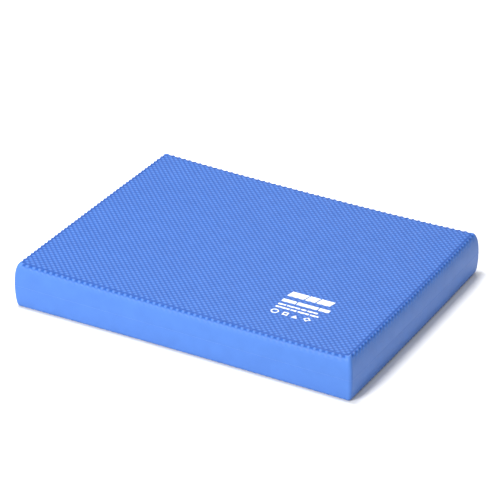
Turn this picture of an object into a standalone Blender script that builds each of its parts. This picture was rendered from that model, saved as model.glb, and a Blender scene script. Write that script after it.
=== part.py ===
"""A free-standing foam balance pad, built from two foam halves, their outer skins and a printed mark.

The pad stands on z = 0, centred on the Z axis, with its long side along X. Lengths are in metres.
Each foam half is wrapped by a smooth side skin that rolls over the rim and by an embossed panel,
and a film at mid-height bonds the two halves. The panels are flat here: their embossing is finer
than this model.
"""

import math

import bmesh
import bpy

# The pad's outside.
LENGTH = 0.500
WIDTH = 0.410
THICKNESS = 0.060
CORNER_RADIUS = 0.006
CORNER_STEPS = 6

# The rims: how far the side draws in from its widest line, and how square its section is.
TOP_RIM_INSET = 0.010
BOTTOM_RIM_INSET = 0.007
RIM_SQUARENESS = 2.3
RIM_STEPS = 12
RIM_DROP = 0.0003

# The layers, and the gaps that keep them apart as separate solids.
SKIN = 0.0012
PANEL = SKIN + RIM_DROP
BOND_FILM = 0.0004
BOND_FILM_SETBACK = 0.0005
CLEARANCE = 0.0003
SEAM_GAP = 0.0005

# The printed mark, near the front right corner. Rows are (name, length, depth, y of the middle).
MARK_LEFT = 0.101
INK = 0.0002
MARK_BARS = (
    ("ink_title_bar", 0.064, 0.013, -0.085),
    ("ink_subtitle_bar", 0.068, 0.007, -0.105),
    ("ink_caption_bar_upper", 0.057, 0.003, -0.117),
    ("ink_caption_bar_lower", 0.062, 0.003, -0.125),
)
ICON_ROW_Y = -0.138
ICON_RADIUS = 0.0055
ICON_LINE = 0.0016
ICON_PITCH = 0.0155
ROUND_STEPS = 32
# Icons are (name, sides, turn of the first corner in degrees).
MARK_ICONS = (
    ("ink_icon_ring", ROUND_STEPS, 0),
    ("ink_icon_square", 4, 45),
    ("ink_icon_triangle", 3, 90),
    ("ink_icon_diamond", 4, 0),
)

FOAM_BLUE = (0.16, 0.34, 0.80)
SKIN_BLUE = (0.10, 0.26, 0.76)
FILM_BLUE = (0.30, 0.46, 0.82)
INK_WHITE = (0.86, 0.88, 0.90)


def clear_scene():
    for obj in list(bpy.data.objects):
        bpy.data.objects.remove(obj, do_unlink=True)


def new_collection(name):
    collection = bpy.data.collections.new(name)
    bpy.context.scene.collection.children.link(collection)
    return collection


def new_material(name, color, roughness):
    material = bpy.data.materials.new(name)
    material.use_nodes = True
    surface = material.node_tree.nodes["Principled BSDF"]
    surface.inputs["Base Color"].default_value = (*color, 1.0)
    surface.inputs["Roughness"].default_value = roughness
    surface.inputs["Metallic"].default_value = 0.0
    return material


def new_object(name, bm, collection, material=None):
    """The bmesh as a named object, smooth except at its sharp edges."""
    mesh = bpy.data.meshes.new(name)
    bm.to_mesh(mesh)
    bm.free()
    mesh.shade_smooth()
    mesh.set_sharp_from_angle(angle=math.radians(35))
    if material:
        mesh.materials.append(material)
    obj = bpy.data.objects.new(name, mesh)
    collection.objects.link(obj)
    return obj


def outline_points(inset):
    """The pad's rounded plan outline, drawn in on every side by inset."""
    scale_x = 1 - inset / (LENGTH / 2)
    scale_y = 1 - inset / (WIDTH / 2)
    middle_x = LENGTH / 2 - CORNER_RADIUS
    middle_y = WIDTH / 2 - CORNER_RADIUS
    points = []
    for quarter, (side_x, side_y) in enumerate(((1, 1), (-1, 1), (-1, -1), (1, -1))):
        for step in range(CORNER_STEPS + 1):
            angle = math.pi / 2 * (quarter + step / CORNER_STEPS)
            x = side_x * middle_x + CORNER_RADIUS * math.cos(angle)
            y = side_y * middle_y + CORNER_RADIUS * math.sin(angle)
            points.append((x * scale_x, y * scale_y))
    return points


def rim_levels(rim_inset, depth):
    """(inset, height over mid-height) up one half of the side, at this depth below its outer face.

    The section is a quarter of a superellipse, upright at mid-height and level at the rim.
    """
    start = BOND_FILM / 2 + CLEARANCE
    rise = THICKNESS / 2 - RIM_DROP - start
    power = 2 / RIM_SQUARENESS
    levels = []
    for step in range(RIM_STEPS + 1):
        angle = math.pi / 2 * step / RIM_STEPS
        across = max(math.cos(angle), 0.0)
        up = math.sin(angle)
        normal_across = across ** (2 - power) / rim_inset
        normal_up = up ** (2 - power) / rise
        normal = math.hypot(normal_across, normal_up)
        inset = rim_inset * (1 - across**power) + depth * normal_across / normal
        height = start + rise * up**power - depth * normal_up / normal
        levels.append((inset, height))
    return levels


def stacked_wall(levels):
    """An upright wall round the pad's outline, extruded from one (inset, height) level to the next."""
    bm = bmesh.new()
    inset, height = levels[0]
    ring = [bm.verts.new((x, y, height)) for x, y in outline_points(inset)]
    edges = [bm.edges.new((vert, ring[index - 1])) for index, vert in enumerate(ring)]
    for next_inset, next_height in levels[1:]:
        made = bmesh.ops.extrude_edge_only(bm, edges=edges)["geom"]
        verts = [item for item in made if isinstance(item, bmesh.types.BMVert)]
        edges = [item for item in made if isinstance(item, bmesh.types.BMEdge)]
        scale_x = (LENGTH / 2 - next_inset) / (LENGTH / 2 - inset)
        scale_y = (WIDTH / 2 - next_inset) / (WIDTH / 2 - inset)
        bmesh.ops.scale(bm, vec=(scale_x, scale_y, 1), verts=verts)
        bmesh.ops.translate(bm, vec=(0, 0, next_height - height), verts=verts)
        inset, height = next_inset, next_height
    return bm


def cap_ends(bm):
    bmesh.ops.holes_fill(bm, edges=bm.edges[:], sides=0)
    bmesh.ops.recalc_face_normals(bm, faces=bm.faces[:])


def face_outwards(bm):
    """Turns an open wall's faces away from the pad's middle."""
    bmesh.ops.recalc_face_normals(bm, faces=bm.faces[:])
    bm.faces.ensure_lookup_table()
    face = bm.faces[0]
    if face.normal.dot(face.calc_center_median()) < 0:
        bmesh.ops.reverse_faces(bm, faces=bm.faces[:])


def turn_over(bm):
    """Mirrors an upper half in the mid-height plane, keeping its faces pointing out."""
    bmesh.ops.scale(bm, vec=(1, 1, -1), verts=bm.verts[:])
    bmesh.ops.reverse_faces(bm, faces=bm.faces[:])


def foam_half(name, rim_inset, is_lower, material, collection):
    """One solid half of the foam core, filling its side skin."""
    bm = stacked_wall(rim_levels(rim_inset, SKIN + CLEARANCE))
    cap_ends(bm)
    if is_lower:
        turn_over(bm)
    half = new_object(name, bm, collection, material)
    half.location.z = THICKNESS / 2
    return half


def side_skin(name, rim_inset, is_lower, material, collection):
    """The smooth skin round one half, from mid-height over the rim to the panel's seam."""
    bm = stacked_wall(rim_levels(rim_inset, 0))
    face_outwards(bm)
    if is_lower:
        turn_over(bm)
    skin = new_object(name, bm, collection, material)
    skin.location.z = THICKNESS / 2
    wall = skin.modifiers.new("Skin thickness", "SOLIDIFY")
    wall.thickness = SKIN
    wall.offset = -1
    wall.use_even_offset = True
    return skin


def plate(name, inset, thickness, material, collection):
    """A flat plate of the pad's outline, with its underside at its origin's height."""
    bm = stacked_wall([(inset, 0), (inset, thickness)])
    cap_ends(bm)
    return new_object(name, bm, collection, material)


def panel(name, rim_inset, bottom, material, collection):
    """One embossed face panel, inside the side skin's seam."""
    face = plate(name, rim_inset + SEAM_GAP, PANEL, material, collection)
    face.location.z = bottom
    return face


def bond_film(material, collection):
    film = plate("mid_bond_film", BOND_FILM_SETBACK, BOND_FILM, material, collection)
    film.location.z = THICKNESS / 2 - BOND_FILM / 2
    return film


def box(name, size, collection, material=None):
    bm = bmesh.new()
    bmesh.ops.create_cube(bm, size=1)
    bmesh.ops.scale(bm, vec=size, verts=bm.verts[:])
    return new_object(name, bm, collection, material)


def prism(name, radius, sides, height, collection):
    bm = bmesh.new()
    bmesh.ops.create_cone(
        bm, cap_ends=True, segments=sides, radius1=radius, radius2=radius, depth=height
    )
    return new_object(name, bm, collection)


def icon_frame(name, sides, material, collection):
    """A regular polygon drawn as a closed line, thickened downwards."""
    bm = bmesh.new()
    bmesh.ops.create_circle(bm, cap_ends=True, radius=ICON_RADIUS, segments=sides)
    middle = bm.faces[:]
    bmesh.ops.inset_region(
        bm, faces=middle, thickness=ICON_LINE, use_boundary=True, use_even_offset=True
    )
    bmesh.ops.delete(bm, geom=middle, context="FACES")
    frame = new_object(name, bm, collection, material)
    line = frame.modifiers.new("Ink thickness", "SOLIDIFY")
    line.thickness = INK
    line.offset = -1
    return frame


def recess(face, cutter):
    """Cuts a shallow pocket in the panel, and makes its tool a wire helper."""
    cutter.display_type = "WIRE"
    cutter.hide_render = True
    cut = face.modifiers.new(cutter.name, "BOOLEAN")
    cut.operation = "DIFFERENCE"
    cut.solver = "EXACT"
    cut.object = cutter


def add_mark_bars(face, material, parts, cutters):
    """Plain bars of ink, each lying in its own pocket of the top panel."""
    pocket_depth = INK + CLEARANCE
    for name, length, depth, y in MARK_BARS:
        x = MARK_LEFT + length / 2
        bar = box(name, (length, depth, INK), parts, material)
        bar.location = (x, y, THICKNESS - INK / 2)
        room = (length + 2 * CLEARANCE, depth + 2 * CLEARANCE, 2 * pocket_depth)
        pocket = box(f"{name}_pocket", room, cutters)
        pocket.location = (x, y, THICKNESS)
        recess(face, pocket)


def add_mark_icons(face, material, parts, cutters):
    """A row of plain line icons, each lying in its own pocket of the top panel."""
    pocket_depth = INK + CLEARANCE
    for index, (name, sides, turn) in enumerate(MARK_ICONS):
        x = MARK_LEFT + ICON_RADIUS + index * ICON_PITCH
        icon = icon_frame(name, sides, material, parts)
        icon.location = (x, ICON_ROW_Y, THICKNESS)
        pocket_radius = ICON_RADIUS + CLEARANCE / math.cos(math.pi / sides)
        pocket = prism(f"{name}_pocket", pocket_radius, sides, 2 * pocket_depth, cutters)
        pocket.location = (x, ICON_ROW_Y, THICKNESS)
        icon.rotation_euler.z = math.radians(turn)
        pocket.rotation_euler.z = math.radians(turn)
        recess(face, pocket)


def build_pad():
    parts = new_collection("balance_pad")
    cutters = new_collection("cutters")
    foam = new_material("foam", FOAM_BLUE, 0.9)
    smooth_skin = new_material("smooth_skin", SKIN_BLUE, 0.5)
    embossed_skin = new_material("embossed_skin", SKIN_BLUE, 0.6)
    film = new_material("bond_film", FILM_BLUE, 0.5)
    ink = new_material("ink", INK_WHITE, 0.6)

    foam_half("upper_foam_half", TOP_RIM_INSET, False, foam, parts)
    foam_half("lower_foam_half", BOTTOM_RIM_INSET, True, foam, parts)
    bond_film(film, parts)
    side_skin("upper_side_skin", TOP_RIM_INSET, False, smooth_skin, parts)
    side_skin("lower_side_skin", BOTTOM_RIM_INSET, True, smooth_skin, parts)
    top = panel("top_embossed_skin", TOP_RIM_INSET, THICKNESS - PANEL, embossed_skin, parts)
    panel("bottom_embossed_skin", BOTTOM_RIM_INSET, 0, embossed_skin, parts)
    add_mark_bars(top, ink, parts, cutters)
    add_mark_icons(top, ink, parts, cutters)


clear_scene()
build_pad()
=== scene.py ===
"""The balance pad's looks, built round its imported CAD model.

The pad is a foam block in a moulded skin. Each skin piece here is a closed shell of real thickness,
and its raised pattern is geometry: a lattice of low domes parted by two families of diagonal
grooves. The pattern fills both faces, stops at a trench round each rim, and goes on over the rim
in rows that fade out down the side.
"""

import math

import bpy
import numpy as np
from mathutils import Matrix, Vector
from mathutils.geometry import delaunay_2d_cdt


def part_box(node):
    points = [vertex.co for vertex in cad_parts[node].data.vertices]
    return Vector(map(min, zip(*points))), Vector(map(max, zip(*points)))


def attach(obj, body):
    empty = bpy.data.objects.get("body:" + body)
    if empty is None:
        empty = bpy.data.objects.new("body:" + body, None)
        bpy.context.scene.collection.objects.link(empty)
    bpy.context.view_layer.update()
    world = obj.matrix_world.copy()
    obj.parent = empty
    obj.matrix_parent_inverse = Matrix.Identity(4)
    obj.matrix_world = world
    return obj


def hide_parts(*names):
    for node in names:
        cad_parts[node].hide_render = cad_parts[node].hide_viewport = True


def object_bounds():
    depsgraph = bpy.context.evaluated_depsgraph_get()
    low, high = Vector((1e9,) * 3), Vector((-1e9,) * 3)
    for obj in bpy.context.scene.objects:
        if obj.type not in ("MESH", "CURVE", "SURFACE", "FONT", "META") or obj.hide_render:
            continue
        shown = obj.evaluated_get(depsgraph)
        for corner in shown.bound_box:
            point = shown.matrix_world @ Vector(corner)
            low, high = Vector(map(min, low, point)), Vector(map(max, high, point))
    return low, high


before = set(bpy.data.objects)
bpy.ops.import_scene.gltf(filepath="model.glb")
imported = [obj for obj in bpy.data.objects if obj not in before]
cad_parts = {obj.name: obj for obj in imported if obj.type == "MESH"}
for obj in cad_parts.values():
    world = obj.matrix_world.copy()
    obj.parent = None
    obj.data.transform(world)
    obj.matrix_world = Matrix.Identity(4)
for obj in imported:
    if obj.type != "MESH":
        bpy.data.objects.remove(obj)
cad_low, cad_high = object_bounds()

# The pad's size, as the frame has it. All lengths are in metres.
HALF_X = cad_high[0]
HALF_Y = cad_high[1]
HEIGHT = cad_high[2]
MID = HEIGHT / 2
BOND_HALF = (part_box("mid_bond_film")[1][2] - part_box("mid_bond_film")[0][2]) / 2

# The side's section is a quarter of a superellipse above mid-height and another below.
TOP_ROLL = 0.0088
BOTTOM_ROLL = 0.0050
TOP_SQUARENESS = 2.3
BOTTOM_SQUARENESS = 2.4
SECTION_SAMPLES = 4001

# Plan corners: their radius at mid-height and at the seams.
CORNER_MID = 0.0045
CORNER_SEAM = 0.0030
CORNER_STEPS = 6
CORNER_STRETCH = 0.020

# The raised pattern. A dome stands on every second crossing of a square lattice. The mesh has
# QUARTERS steps to one step of the lattice, and a seam lies SEAM_STEPS of them past the last row.
DOMES_X = 55
DOMES_Y = 44
QUARTERS = 4
SEAM_STEPS = 3
RELIEF = 0.0012
TRENCH = 0.0009
TRENCH_WIDTH = 0.0020
TOP_ROWS = (1.15, 0.45, 0.12, 0.0)
BOTTOM_ROWS = (0.4, 0.12, 0.03, 0.0)
CORNER_FADE = 0.004

# Skins.
SKIN = 0.0014
SEAM_GAP = 0.00012
FOAM_GAP = 0.0008
LIP = 0.00010
LIP_WIDTH = 0.0015
LIP_LEVELS = (1, 0.66, 0.33, 0)
SMOOTH_DEPTH = 0.3
SIDE_STEP = 0.0022

# Faces that meet more sharply than this keep a crisp edge.
SHARP = math.radians(70)

# Inside, where nothing shows, the meshes are coarser. A skin's inner levels crowd to the seam.
INNER_EVERY = 4
INNER_LEVELS = 8
INNER_CROWDING = 1.5
CORE_LEVELS = 10
PANEL_SPACING = 16
FILL_SPACING = 0.018
FILM_GAP = 0.00005
FILM_PROUD = 0.00005

# The printed mark. Its places come from the frame.
INK_STEP = 0.0004
INK_LIFT = 0.00012
INK_THICKNESS = 0.00008
INK_POOL = 0.1
INK_LINE = 0.0016
INK_GAP = 0.0018
FRAME_STEPS = 96
FRAME_RINGS = 5

# The mark's lines, as blocks of the given shares, and its signs, as frames with so many sides.
BARS = (
    ("ink_title_bar", (5, 3, 4), 0.2),
    ("ink_subtitle_bar", (4, 6, 3), 0.0),
    ("ink_caption_bar_upper", (3, 5, 2, 4), 0.0),
    ("ink_caption_bar_lower", (5, 2, 4, 3), 0.0),
)
SIGNS = (
    ("ink_icon_ring", 32, 0),
    ("ink_icon_square", 4, math.pi / 4),
    ("ink_icon_triangle", 3, math.pi / 2),
    ("ink_icon_diamond", 4, 0),
)

# Colours, linear: each material's noise mixes from the first of its tones to the second. Depths
# past GROOVE_SHADE_RANGE's start take on PAINTED_GROOVE_SHADE: painted shade that darkens the
# grooves, the pits and the trench round each rim. A finish is a roughness and a specular level.
SKIN_TONES = ((0.062, 0.160, 0.475), (0.067, 0.173, 0.505))
FOAM_TONES = ((0.05, 0.11, 0.30), (0.07, 0.15, 0.38))
FILM_TONES = ((0.064, 0.166, 0.49), (0.072, 0.18, 0.52))
INK_TONES = ((0.45, 0.52, 0.66), (0.74, 0.76, 0.80))
FLOOR_TONES = ((0.90, 0.90, 0.90), (0.91, 0.91, 0.91))
GROOVE_SHADE_RANGE = (0.45, 1.0)
PAINTED_GROOVE_SHADE = (0.26, 0.44, 0.63)
EMBOSSED_FINISH = (0.5, 0.18)
SMOOTH_FINISH = (0.37, 0.14)

# Sizes of the materials' noise and cells.
SKIN_CLOUDS = 0.018
SKIN_GRAIN = 0.0009
SKIN_PORES = 0.0007
FOAM_CLOUDS = 0.012
FOAM_CELLS = 0.0008
FILM_STREAKS = 0.004
INK_PATCHES = 0.0012
FLOOR_SHADE = 0.5

# Stage, lights (name, azimuth, elevation, distance, width, depth, power) and camera, in degrees.
FLOOR_SIZE = 12.0
WORLD = 0.50
LIGHTS = (
    ("overhead", -90, 79, 2.2, 0.8, 0.8, 47),
    ("front", -11, 28, 2.6, 0.8, 0.8, 59),
    ("back", -160, 40, 2.4, 0.8, 0.8, 12),
)
LENS = 188.0
SENSOR = 36.0
AIM = (-0.0284, 0.0501, 0.030)
CAMERA_AZIMUTH = 26.31
CAMERA_ELEVATION = 27.34
CAMERA_DISTANCE = 3.587
CAMERA_ROLL = 2.22

# How the foam's upper surface strays from flat and true, at a unit of half the length or width:
# tapered and canted, dished with its ends turned up, leaning, with its outline bowed.
TAPER = -0.0010
CANT = -0.0007
DISH_X = 0.0016
DISH_Y = 0.0008
CURL = 0.0015
LEAN_X = -0.0027
LEAN_Y = 0.0008
BOW_X = -0.0015
BOW_Y = 0.0021


def smoothstep(value):
    value = np.clip(value, 0.0, 1.0)
    return value * value * (3 - 2 * value)


# ---- The raised pattern ----------------------------------------------------------------------


def dome(i, j):
    """Height of the pattern at lattice place (i, j), from 0 in a pit to 1 on a crest."""
    across_a = 0.5 + 0.5 * np.cos(math.pi * (i + j))
    across_b = 0.5 + 0.5 * np.cos(math.pi * (i - j))
    return across_a * across_b


def emboss(i, j, from_seam, strength=1.0):
    """How far the skin lies outside its mean surface."""
    clear = smoothstep(from_seam / TRENCH_WIDTH)
    return clear * strength * RELIEF * (dome(i, j) - 0.5) - (1 - clear) * TRENCH


def groove_depth(offset):
    """From 0 on a crest to 1 in a pit, from how far the skin lies outside its mean surface."""
    return np.clip(0.5 - offset / RELIEF, 0, 1)


class Face:
    """One of the two large faces: its seam, its lattice and the shape of the side next to it."""

    def __init__(self, roll, squareness, rows):
        self.roll = roll
        self.squareness = squareness
        self.rows = rows
        self.half = np.array([HALF_X - roll, HALF_Y - roll])
        self.steps = np.array([DOMES_X, DOMES_Y]) * QUARTERS + SEAM_STEPS
        self.quarter = self.half / self.steps
        self.rise = MID - RELIEF / 2

    def from_seam(self, x, y):
        """Distance inwards from the seam, a rectangle with round corners."""
        over_x = np.abs(x) - (self.half[0] - CORNER_SEAM)
        over_y = np.abs(y) - (self.half[1] - CORNER_SEAM)
        corner = np.hypot(np.maximum(over_x, 0), np.maximum(over_y, 0))
        flat = np.minimum(np.maximum(over_x, over_y), 0)
        return np.maximum(CORNER_SEAM - corner - flat, 0)

    def skin_height(self, x, y):
        """Height of the skin's outer surface above mid-height."""
        i = x / self.quarter[0] / QUARTERS
        j = y / self.quarter[1] / QUARTERS
        return self.rise + emboss(i, j, self.from_seam(x, y))


TOP = Face(TOP_ROLL, TOP_SQUARENESS, TOP_ROWS)
BOTTOM = Face(BOTTOM_ROLL, BOTTOM_SQUARENESS, BOTTOM_ROWS)


# ---- From arrays to pieces -------------------------------------------------------------------


def settle(points):
    """The finished pad's shape: foam isn't flat and true to the tenth of a millimetre."""
    x = points[:, 0] / HALF_X
    y = points[:, 1] / HALF_Y
    lift = np.clip(points[:, 2] / HEIGHT, 0, 1)
    rise = TAPER * x + CANT * y + DISH_X * x**2 + DISH_Y * y**2 + CURL * x**4
    settled = points.copy()
    settled[:, 0] += LEAN_X * lift + BOW_X * x * y**2
    settled[:, 1] += LEAN_Y * lift + BOW_Y * y * x**2
    settled[:, 2] += rise * lift
    return settled


def piece(name, points, faces, material, slot, stands_for):
    """A closed mesh from points measured upwards from mid-height, riding on the pad.

    A fourth number on each point is how deep it lies in a groove, kept for the material, which
    paints shade into the grooves by it.
    """
    points = np.asarray(points, float)
    depth = points[:, 3] if points.shape[1] > 3 else np.zeros(len(points))
    points = points[:, :3] + (0, 0, MID)
    mesh = bpy.data.meshes.new(name)
    mesh.from_pydata(settle(points).tolist(), [], faces)
    mesh.attributes.new("depth", "FLOAT", "POINT").data.foreach_set("value", depth)
    mesh.validate()
    mesh.shade_smooth()
    mesh.set_sharp_from_angle(angle=SHARP)
    mesh.materials.append(material)
    made = bpy.data.objects.new(name, mesh)
    bpy.context.scene.collection.objects.link(made)
    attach(made, "root")
    if stands_for:
        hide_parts(stands_for)
    return made


def turned_over(points, faces):
    """The same body mirrored below mid-height, its faces still pointing out."""
    mirrored = points.copy()
    mirrored[:, 2] *= -1
    return mirrored, [face[::-1] for face in faces]


def ring_faces(rows, columns, closed):
    """Quads between rings of points; closed also joins the last ring to the first."""
    faces = []
    for row in range(rows if closed else rows - 1):
        here = row * columns
        there = (row + 1) % rows * columns
        for column in range(columns):
            after = (column + 1) % columns
            faces.append((here + column, here + after, there + after, there + column))
    return faces


def fill_outline(outline, spacing):
    """Points inside a convex outline, and triangles that fill it, facing up."""
    reach = np.abs(outline).max(axis=0)
    counts = (2 * reach / spacing).astype(int)
    across = np.linspace(-reach[0], reach[0], counts[0] + 1)[1:-1]
    along = np.linspace(-reach[1], reach[1], counts[1] + 1)[1:-1]
    inner = np.array([(x, y) for x in across for y in along])
    loop = list(range(len(outline)))
    sites = [Vector(site) for site in np.vstack([outline, inner]).tolist()]
    filled = delaunay_2d_cdt(sites, [], [loop], 1, 1e-7)
    source = [origins[0] for origins in filled[3]]
    return inner, [tuple(source[corner] for corner in face) for face in filled[2]]


# ---- The two embossed faces ------------------------------------------------------------------


def round_corner(x, y, face):
    """Maps the square corner of the mesh onto the seam's round corner."""
    start = face.half - CORNER_SEAM
    u = np.clip((np.abs(x) - start[0]) / CORNER_SEAM, 0, 1)
    v = np.clip((np.abs(y) - start[1]) / CORNER_SEAM, 0, 1)
    rounded_x = start[0] + CORNER_SEAM * u * np.sqrt(1 - v**2 / 2)
    rounded_y = start[1] + CORNER_SEAM * v * np.sqrt(1 - u**2 / 2)
    inside = (u > 0) & (v > 0)
    new_x = np.where(inside, np.copysign(rounded_x, x), x)
    new_y = np.where(inside, np.copysign(rounded_y, y), y)
    return new_x, new_y


def seam_loop(steps, number):
    """The numbers of the mesh points along the seam, counter-clockwise seen from above."""
    m, n = steps
    south = [number[(k, -n)] for k in range(-m, m, 2)]
    east = [number[(m, k)] for k in range(-n, n, 2)]
    north = [number[(k, n)] for k in range(m, -m, -2)]
    west = [number[(-m, k)] for k in range(n, -n, -2)]
    return south + east + north + west


def diamond_faces(steps, number):
    """Faces round every mesh place that has no point: quads, and triangles along the seam."""
    m, n = steps
    faces = []
    for i in range(-m, m + 1):
        for j in range(-n, n + 1):
            if (i + j) % 2 == 0:
                continue
            around = [(i + 1, j), (i, j + 1), (i - 1, j), (i, j - 1)]
            face = tuple(number[place] for place in around if place in number)
            faces.append(face)
    return faces


def embossed_panel(face):
    """Points and faces of one large face's skin, from its domes to its flat inner side."""
    m, n = (int(count) for count in face.steps)
    places = [(i, j) for i in range(-m, m + 1) for j in range(-n, n + 1) if (i + j) % 2 == 0]
    number = {place: index for index, place in enumerate(places)}
    flat = np.array(places) * face.quarter
    x, y = round_corner(flat[:, 0], flat[:, 1], face)
    outer = np.column_stack([x, y, face.skin_height(x, y)])
    faces = diamond_faces((m, n), number)
    loop = seam_loop((m, n), number)
    inner, filling = fill_outline(outer[loop, :2], PANEL_SPACING * face.quarter[0])
    below = face.rise - SKIN
    rim = np.column_stack([outer[loop, :2], np.full(len(loop), below)])
    middle = np.column_stack([inner, np.full(len(inner), below)])
    base = len(outer)
    for k in range(len(loop)):
        after = (k + 1) % len(loop)
        faces.append((loop[after], loop[k], base + k, base + after))
    faces += [tuple(base + corner for corner in triangle)[::-1] for triangle in filling]
    points = np.vstack([outer, rim, middle])
    depth = np.zeros(len(points))
    depth[: len(outer)] = groove_depth(outer[:, 2] - face.rise)
    return np.column_stack([points, depth]), faces


# ---- The two side skins ----------------------------------------------------------------------


def side_columns(face):
    """The columns of the side, counter-clockwise from the front's left end.

    Each row holds the seam point (2), the mid-height point (2), the lattice place along the side,
    the lattice row of the first dome over the seam, and the strength of the pattern.
    """
    rows = []
    turns = [(1, 0, 0), (0, 1, 1), (-1, 0, 0), (0, -1, 1)]
    for along_x, along_y, axis in turns:
        along = np.array([along_x, along_y])
        out = np.array([along_y, -along_x])
        length = face.half[axis] - CORNER_SEAM
        longer = (HALF_X, HALF_Y)[axis] - CORNER_MID
        seam_out = face.half[1 - axis]
        mid_out = (HALF_Y, HALF_X)[axis]
        step = face.quarter[axis]
        reach = int(length / step - 0.5)
        places = np.concatenate([[-length], np.arange(-reach, reach + 1) * step, [length]])
        first_row = (DOMES_Y, DOMES_X)[axis] + 1
        for place in places:
            near = smoothstep((abs(place) - length + CORNER_STRETCH) / CORNER_STRETCH)
            spread = place + math.copysign(1, place) * (longer - length) * near
            strength = smoothstep((length - abs(place)) / CORNER_FADE)
            seam = along * place + out * seam_out
            mid = along * spread + out * mid_out
            rows.append([*seam, *mid, place / step / QUARTERS, first_row, strength])
        for k in range(1, CORNER_STEPS):
            turn = math.pi / 2 * k / CORNER_STEPS
            toward = along * math.sin(turn) + out * math.cos(turn)
            seam = along * length + out * (seam_out - CORNER_SEAM) + CORNER_SEAM * toward
            mid = along * longer + out * (mid_out - CORNER_MID) + CORNER_MID * toward
            rows.append([*seam, *mid, 0, first_row, 0])
    return np.array(rows)


def section(face, lengths):
    """Inset and height of the side's mean surface at distances from the seam along its curve."""
    turn = np.linspace(math.pi / 2, 0, SECTION_SAMPLES)
    inset = face.roll * (1 - np.cos(turn) ** (2 / face.squareness))
    height = face.rise * np.sin(turn) ** (2 / face.squareness)
    walked = np.concatenate([[0], np.cumsum(np.hypot(np.diff(inset), np.diff(height)))])
    return np.interp(lengths, walked, inset), np.interp(lengths, walked, height), walked[-1]


def side_levels(face):
    """Distances from the seam: fine steps over the patterned rows, then wider ones, then the lip."""
    total = section(face, 0)[2]
    fine = face.quarter[1]
    patterned = SEAM_STEPS + QUARTERS * (len(face.rows) - 1)
    upper = np.arange(patterned + 1) * fine
    lip = total - LIP_WIDTH * np.array(LIP_LEVELS)
    count = int((lip[0] - upper[-1]) / SIDE_STEP)
    plain = np.linspace(upper[-1], lip[0], count + 1)[1:-1]
    return np.concatenate([upper, plain, lip])


def surface_rows(columns, inset, height, roll):
    """A grid of points, one row to each level, before any relief."""
    share = (inset / roll)[:, None, None]
    plan = columns[None, :, 2:4] + share * (columns[None, :, 0:2] - columns[None, :, 2:4])
    up = np.broadcast_to(height[:, None, None], plan.shape[:2] + (1,))
    return np.concatenate([plan, up], axis=2)


def outward(grid):
    """Unit normals of a grid whose rows go down and whose columns go counter-clockwise."""
    down = np.gradient(grid, axis=0)
    around = np.roll(grid, -1, axis=1) - np.roll(grid, 1, axis=1)
    normal = np.cross(down, around)
    return normal / np.linalg.norm(normal, axis=2, keepdims=True)


def side_relief(face, columns, levels):
    """The side's relief at each level and column, and how deep in a groove each place lies."""
    rows_over = (levels - SEAM_STEPS * face.quarter[1]) / (QUARTERS * face.quarter[1])
    fade = np.interp(rows_over, range(len(face.rows)), face.rows)
    across = columns[None, :, 5] + rows_over[:, None]
    strength = columns[None, :, 6] * fade[:, None]
    relief = emboss(columns[None, :, 4], across, levels[:, None], strength)
    # How deep each place lies sets the painted shade in its groove.
    depth = SMOOTH_DEPTH + (groove_depth(relief) - SMOOTH_DEPTH) * np.clip(strength, 0, 1)
    return relief, depth


def side_inner(face, columns, total):
    """The side skin's inner surface, a skin's thickness inside its mean surface."""
    few = np.linspace(0, 1, INNER_LEVELS) ** INNER_CROWDING * (total - BOND_HALF)
    inset, height, _ = section(face, few)
    mean = surface_rows(columns, inset, height, face.roll)
    normals = outward(mean)
    normals[0] = (0, 0, 1)
    return mean - normals * SKIN


def side_skin(face):
    """Points and faces of one half's side skin, down to mid-height and back up its inner side."""
    columns = side_columns(face)
    levels = side_levels(face)
    inset, height, total = section(face, levels)
    mean = surface_rows(columns, inset, height, face.roll)
    normals = outward(mean)
    normals[0] = (0, 0, 1)
    relief, depth = side_relief(face, columns, levels)
    lip = LIP * smoothstep(1 - (total - levels) / LIP_WIDTH)
    outer = mean + normals * (relief + lip[:, None])[:, :, None]
    outer[-1, :, 2] = BOND_HALF
    outer[0] += normals_in_plan(mean) * SEAM_GAP
    inner = side_inner(face, columns, total)
    inner[0, :, :2] = outer[0, :, :2]
    inner[-1, :, 2] = BOND_HALF
    rings = np.concatenate([outer, inner[::-1]])
    points = rings.reshape(-1, 3)
    hidden = np.full(len(points) - depth.size, SMOOTH_DEPTH)
    faces = ring_faces(rings.shape[0], rings.shape[1], True)
    with_depth = np.column_stack([points, np.concatenate([depth.ravel(), hidden])])
    return with_depth, [quad[::-1] for quad in faces]


def normals_in_plan(grid):
    """Unit vectors pointing outwards in plan, one to each column, at the seam."""
    around = np.roll(grid[0], -1, axis=0) - np.roll(grid[0], 1, axis=0)
    out = np.column_stack([around[:, 1], -around[:, 0], np.zeros(len(around))])
    return out / np.linalg.norm(out, axis=1, keepdims=True)


# ---- Inside ----------------------------------------------------------------------------------


def stacked(rings):
    """A closed body from rings, lowest first, with a filled flat top and bottom."""
    rows, count = rings.shape[:2]
    points = rings.reshape(-1, 3)
    faces = ring_faces(rows, count, False)
    for row, upwards in ((0, False), (rows - 1, True)):
        ring = rings[row]
        inner, filling = fill_outline(ring[:, :2], FILL_SPACING)
        numbers = list(range(row * count, (row + 1) * count))
        numbers += list(range(len(points), len(points) + len(inner)))
        cap = np.column_stack([inner, np.full(len(inner), ring[0, 2])])
        points = np.vstack([points, cap])
        for triangle in filling:
            corners = tuple(numbers[corner] for corner in triangle)
            faces.append(corners if upwards else corners[::-1])
    return points, faces


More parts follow.
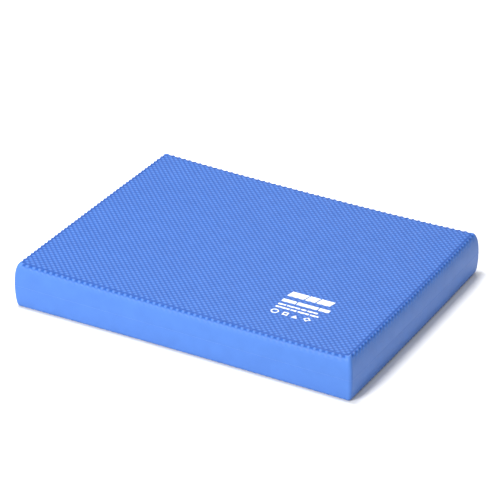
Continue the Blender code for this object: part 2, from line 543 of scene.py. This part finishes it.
def foam_core(face):
    """Points and faces of one foam half, a skin's thickness inside the skins."""
    columns = side_columns(face)[::INNER_EVERY]
    total = section(face, 0)[2]
    lengths = np.linspace(0, total - BOND_HALF, CORE_LEVELS)
    inset, height, _ = section(face, lengths)
    mean = surface_rows(columns, inset, height, face.roll)
    normals = outward(mean)
    normals[0] = (0, 0, 1)
    rings = mean - normals * (SKIN + FOAM_GAP)
    rings[-1, :, 2] = BOND_HALF + FOAM_GAP
    return stacked(rings[::-1])


def bond_film():
    """Points and faces of the film between the halves, its edge just proud of the skins."""
    columns = side_columns(TOP)
    mid = np.column_stack([columns[:, 2:4], np.zeros(len(columns))])
    out = normals_in_plan(mid[None])
    half = BOND_HALF - FILM_GAP
    rings = []
    for proud, height in ((0, -half), (FILM_PROUD, -half / 2), (FILM_PROUD, half / 2), (0, half)):
        ring = mid + out * (LIP + proud)
        ring[:, 2] = height
        rings.append(ring)
    return stacked(np.array(rings))


# ---- The printed mark ------------------------------------------------------------------------


def mesh_height(face, x, y):
    """Height of the panel's mesh above mid-height, whichever way its quads are split."""
    i = x / face.quarter[0]
    j = y / face.quarter[1]
    along = np.stack([(i + j) / 2, (i - j) / 2])
    p, q = np.floor(along)
    u, v = along - np.floor(along)

    def corner(dp, dq):
        corner_x = (p + dp + q + dq) * face.quarter[0]
        corner_y = (p + dp - q - dq) * face.quarter[1]
        return face.skin_height(corner_x, corner_y)

    near, right, left, far = corner(0, 0), corner(1, 0), corner(0, 1), corner(1, 1)
    below = near + u * (right - near) + v * (far - right)
    above = near + v * (left - near) + u * (far - left)
    first = np.where(u >= v, below, above)
    before = near + u * (right - near) + v * (left - near)
    beyond = far + (1 - u) * (left - far) + (1 - v) * (right - far)
    second = np.where(u + v <= 1, before, beyond)
    return np.maximum(first, second)


def film_faces(rows, columns, closed):
    """Faces of a film whose upper points come first and whose lower points follow them."""
    below = rows * columns
    last = columns if closed else columns - 1
    faces = []
    for row in range(rows - 1):
        for column in range(last):
            after = (column + 1) % columns
            a = row * columns + column
            b = row * columns + after
            c = (row + 1) * columns + after
            d = (row + 1) * columns + column
            faces += [(a, b, c, d), (below + d, below + c, below + b, below + a)]
    for column in range(last):
        after = (column + 1) % columns
        top = (rows - 1) * columns
        faces.append((after, column, below + column, below + after))
        faces.append((top + column, top + after, below + top + after, below + top + column))
    if not closed:
        for row in range(rows - 1):
            here = row * columns
            there = here + columns
            end = columns - 1
            faces.append((here, there, below + there, below + here))
            faces.append((there + end, here + end, below + here + end, below + there + end))
    return faces


def film(grid, closed):
    """A thin layer of ink over the domes, pooled in the grooves, from a grid of plan places."""
    height = mesh_height(TOP, grid[:, :, 0], grid[:, :, 1])[:, :, None]
    level = np.maximum(height, TOP.rise + INK_POOL * RELIEF)
    upper = np.concatenate([grid, level + INK_LIFT + INK_THICKNESS], axis=2)
    lower = np.concatenate([grid, height + INK_LIFT], axis=2)
    points = np.concatenate([upper.reshape(-1, 3), lower.reshape(-1, 3)])
    return points, film_faces(*grid.shape[:2], closed)


def joined(bodies):
    """Several bodies as one list of points and one of faces."""
    points = []
    faces = []
    for body_points, body_faces in bodies:
        start = sum(len(part) for part in points)
        points.append(body_points)
        faces += [tuple(start + corner for corner in face) for face in body_faces]
    return np.vstack(points), faces


def block(left, right, front, back, slant):
    """An ink block: a slanted rectangle on the top face."""
    across = np.linspace(left, right, max(int((right - left) / INK_STEP), 2) + 1)
    along = np.linspace(front, back, max(int((back - front) / INK_STEP), 2) + 1)
    x, y = np.meshgrid(across, along)
    return film(np.stack([x + (y - front) * slant, y], axis=2), False)


def ink_bar(node, shares, slant):
    """One line of the mark, as blocks whose widths have the given shares."""
    low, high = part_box(node)
    lean = (high.y - low.y) * slant
    room = high.x - low.x - lean - INK_GAP * (len(shares) - 1)
    left = low.x
    blocks = []
    for share in shares:
        width = room * share / sum(shares)
        blocks.append(block(left, left + width, low.y, high.y, slant))
        left += width + INK_GAP
    return joined(blocks)


def ink_frame(node, sides, turn):
    """One small sign: a round or straight-sided frame drawn in a thin line."""
    low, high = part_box(node)
    tips = turn + 2 * math.pi * np.arange(sides) / sides
    radius = (high.x - low.x) / (np.cos(tips).max() - np.cos(tips).min())
    centre = np.array([low.x - radius * np.cos(tips).min(), low.y - radius * np.sin(tips).min()])
    angle = 2 * math.pi * np.arange(FRAME_STEPS) / FRAME_STEPS
    wedge = (angle - turn) % (2 * math.pi / sides) - math.pi / sides
    reach = math.cos(math.pi / sides) / np.cos(wedge)
    around = np.column_stack([np.cos(angle), np.sin(angle)]) * reach[:, None]
    line = INK_LINE / math.cos(math.pi / sides)
    rings = [centre + around * size for size in np.linspace(radius, radius - line, FRAME_RINGS)]
    return film(np.array(rings), True)


# ---- Materials -------------------------------------------------------------------------------


class Surface:
    """A node material under construction, with short ways to add and join nodes."""

    # A colour mix's inputs for its two colours, and its colour output.
    MIX_FIRST = 6
    MIX_SECOND = 7
    MIX_COLOUR = 2

    def __init__(self, name):
        self.material = bpy.data.materials.new(name)
        self.material.use_nodes = True
        self.tree = self.material.node_tree
        self.shader = self.tree.nodes["Principled BSDF"]
        self.place = self.add("ShaderNodeTexCoord").outputs["Object"]

    def add(self, kind, **values):
        node = self.tree.nodes.new(kind)
        for key, value in values.items():
            if key in node.inputs:
                node.inputs[key].default_value = value
            else:
                setattr(node, key, value)
        return node

    def join(self, source, target):
        self.tree.links.new(source, target)

    def noise(self, size, detail=3.0):
        """Noise whose grains are about this size, in metres."""
        node = self.add("ShaderNodeTexNoise", Scale=1 / size, Detail=detail)
        self.join(self.place, node.inputs["Vector"])
        return node.outputs["Fac"]

    def cells(self, size):
        node = self.add("ShaderNodeTexVoronoi", Scale=1 / size)
        self.join(self.place, node.inputs["Vector"])
        return node.outputs["Distance"]

    def attribute(self, name):
        return self.add("ShaderNodeAttribute", attribute_name=name).outputs["Fac"]

    def blend(self, tones, factor):
        """A colour between two, by a factor from 0 to 1."""
        node = self.add("ShaderNodeMix", data_type="RGBA")
        node.inputs[self.MIX_FIRST].default_value = (*tones[0], 1)
        node.inputs[self.MIX_SECOND].default_value = (*tones[1], 1)
        self.join(factor, node.inputs[0])
        return node.outputs[self.MIX_COLOUR]

    def tinted(self, colour, tint, factor):
        """A colour multiplied by a tint, by a factor from 0 to 1."""
        node = self.add("ShaderNodeMix", data_type="RGBA", blend_type="MULTIPLY")
        self.join(factor, node.inputs[0])
        self.join(colour, node.inputs[self.MIX_FIRST])
        node.inputs[self.MIX_SECOND].default_value = (*tint, 1)
        return node.outputs[self.MIX_COLOUR]

    def spread(self, factor, low, high, source=(0.3, 0.7)):
        """Maps a source range, by default the one that noise fills, to a range of numbers."""
        node = self.add("ShaderNodeMapRange")
        for index, value in enumerate((*source, low, high), start=1):
            node.inputs[index].default_value = value
        self.join(factor, node.inputs[0])
        return node.outputs[0]

    def bump(self, height, depth, strength, under=None):
        node = self.add("ShaderNodeBump", Distance=depth, Strength=strength)
        self.join(height, node.inputs["Height"])
        if under is not None:
            self.join(under, node.inputs["Normal"])
        return node.outputs["Normal"]

    def paint(self, colour, roughness, normal):
        self.join(colour, self.shader.inputs["Base Color"])
        self.join(roughness, self.shader.inputs["Roughness"])
        self.join(normal, self.shader.inputs["Normal"])
        return self.material


def skin_material(name, finish):
    """Closed-cell foam's moulded skin: faint clouds of tone, fine pores, an uneven soft gloss.

    Its grooves, pits and rim trench are darkened by painted shade, standing in for the shade that
    falls in them.
    """
    rough, gloss = finish
    surface = Surface(name)
    clouds = surface.noise(SKIN_CLOUDS, detail=4)
    grain = surface.noise(SKIN_GRAIN, detail=2)
    tone = surface.blend(SKIN_TONES, surface.spread(clouds, 0, 1))
    # Painted shade: the deeper a place lies in a groove, pit or rim trench, the darker its colour.
    groove = surface.spread(surface.attribute("depth"), 0, 1, GROOVE_SHADE_RANGE)
    roughness = surface.spread(grain, rough - 0.05, rough + 0.06)
    pores = surface.bump(surface.cells(SKIN_PORES), depth=0.00006, strength=0.35)
    normal = surface.bump(grain, depth=0.00008, strength=0.3, under=pores)
    surface.shader.inputs["Specular IOR Level"].default_value = gloss
    return surface.paint(surface.tinted(tone, PAINTED_GROOVE_SHADE, groove), roughness, normal)


def foam_material():
    """The cut foam inside: matt and full of open cells."""
    surface = Surface("foam_cells")
    colour = surface.blend(FOAM_TONES, surface.spread(surface.noise(FOAM_CLOUDS), 0, 1))
    cells = surface.cells(FOAM_CELLS)
    roughness = surface.spread(cells, 0.8, 0.95, (0, 0.6))
    return surface.paint(colour, roughness, surface.bump(cells, depth=0.0003, strength=0.8))


def film_material():
    """The bond film, streaked and about as blue as the skin."""
    surface = Surface("bond_edge")
    streaks = surface.noise(FILM_STREAKS)
    colour = surface.blend(FILM_TONES, surface.spread(streaks, 0, 1))
    roughness = surface.spread(streaks, 0.35, 0.5)
    return surface.paint(colour, roughness, surface.bump(streaks, depth=0.0001, strength=0.3))


def ink_material():
    """White screen ink, a little thin in patches, so that the blue shows faintly through."""
    surface = Surface("white_ink")
    patches = surface.noise(INK_PATCHES)
    colour = surface.blend(INK_TONES, surface.spread(patches, 0, 1, (0.25, 0.45)))
    roughness = surface.spread(patches, 0.45, 0.6)
    return surface.paint(colour, roughness, surface.bump(patches, depth=0.00003, strength=0.3))


def floor_material():
    """A plain pale matt floor."""
    surface = Surface("pale_floor")
    shade = surface.noise(FLOOR_SHADE, detail=1)
    colour = surface.blend(FLOOR_TONES, shade)
    roughness = surface.spread(shade, 0.9, 0.92)
    return surface.paint(colour, roughness, surface.bump(shade, depth=0.0001, strength=0.1))


# ---- The pad ---------------------------------------------------------------------------------


def build_pad():
    embossed = skin_material("embossed_skin", EMBOSSED_FINISH)
    smooth = skin_material("smooth_skin", SMOOTH_FINISH)
    foam = foam_material()
    ink = ink_material()
    panels = (("top", embossed_panel(TOP)), ("bottom", turned_over(*embossed_panel(BOTTOM))))
    for end, body in panels:
        piece(end + "_skin_panel", *body, embossed, "embossed_skin", end + "_embossed_skin")
    sides = (("upper", side_skin(TOP)), ("lower", turned_over(*side_skin(BOTTOM))))
    for end, body in sides:
        piece(end + "_side_wrap", *body, smooth, "smooth_skin", end + "_side_skin")
    cores = (("upper", foam_core(TOP)), ("lower", turned_over(*foam_core(BOTTOM))))
    for end, body in cores:
        core = piece(end + "_foam_core", *body, foam, "foam", end + "_foam_half")
    piece("bond_line", *bond_film(), film_material(), "bond_film", "mid_bond_film")
    for node, shares, slant in BARS:
        piece("print_" + node, *ink_bar(node, shares, slant), ink, "ink", node)
    for node, sides, turn in SIGNS:
        piece("print_" + node, *ink_frame(node, sides, turn), ink, "ink", node)


# ---- Stage, light and camera -----------------------------------------------------------------


def floor():
    mesh = bpy.data.meshes.new("floor")
    half = FLOOR_SIZE / 2
    corners = [(-half, -half, 0), (half, -half, 0), (half, half, 0), (-half, half, 0)]
    mesh.from_pydata(corners, [], [(0, 1, 2, 3)])
    mesh.materials.append(floor_material())
    made = bpy.data.objects.new("floor", mesh)
    bpy.context.scene.collection.objects.link(made)


def toward(azimuth, elevation):
    """Direction to a light. Azimuth 0 is in front of the pad, at -Y, and 90 is at +X."""
    a = math.radians(azimuth)
    e = math.radians(elevation)
    return Vector((math.sin(a) * math.cos(e), -math.cos(a) * math.cos(e), math.sin(e)))


def softbox(name, azimuth, elevation, distance, width, depth, power):
    light = bpy.data.lights.new(name, "AREA")
    light.shape = "RECTANGLE"
    light.size = width
    light.size_y = depth
    light.energy = power
    made = bpy.data.objects.new(name, light)
    direction = toward(azimuth, elevation)
    made.location = Vector((0, 0, MID)) + direction * distance
    made.rotation_mode = "QUATERNION"
    made.rotation_quaternion = direction.to_track_quat("Z", "Y")
    bpy.context.scene.collection.objects.link(made)


def light_up():
    world = bpy.data.worlds.new("studio")
    world.use_nodes = True
    background = world.node_tree.nodes["Background"]
    background.inputs["Color"].default_value = (1, 1, 1, 1)
    background.inputs["Strength"].default_value = WORLD
    bpy.context.scene.world = world
    for name, *values in LIGHTS:
        softbox(name, *values)
    bpy.context.scene.view_settings.view_transform = "Standard"


def camera():
    data = bpy.data.cameras.new("camera")
    data.lens = LENS
    data.sensor_width = SENSOR
    made = bpy.data.objects.new("camera", data)
    back = toward(CAMERA_AZIMUTH, CAMERA_ELEVATION)
    made.location = Vector(AIM) + back * CAMERA_DISTANCE
    level = back.to_track_quat("Z", "Y")
    roll = Matrix.Rotation(math.radians(CAMERA_ROLL), 3, "Z").to_quaternion()
    made.rotation_mode = "QUATERNION"
    made.rotation_quaternion = level @ roll
    bpy.context.scene.collection.objects.link(made)
    bpy.context.scene.camera = made


camera()
build_pad()
floor()
light_up()
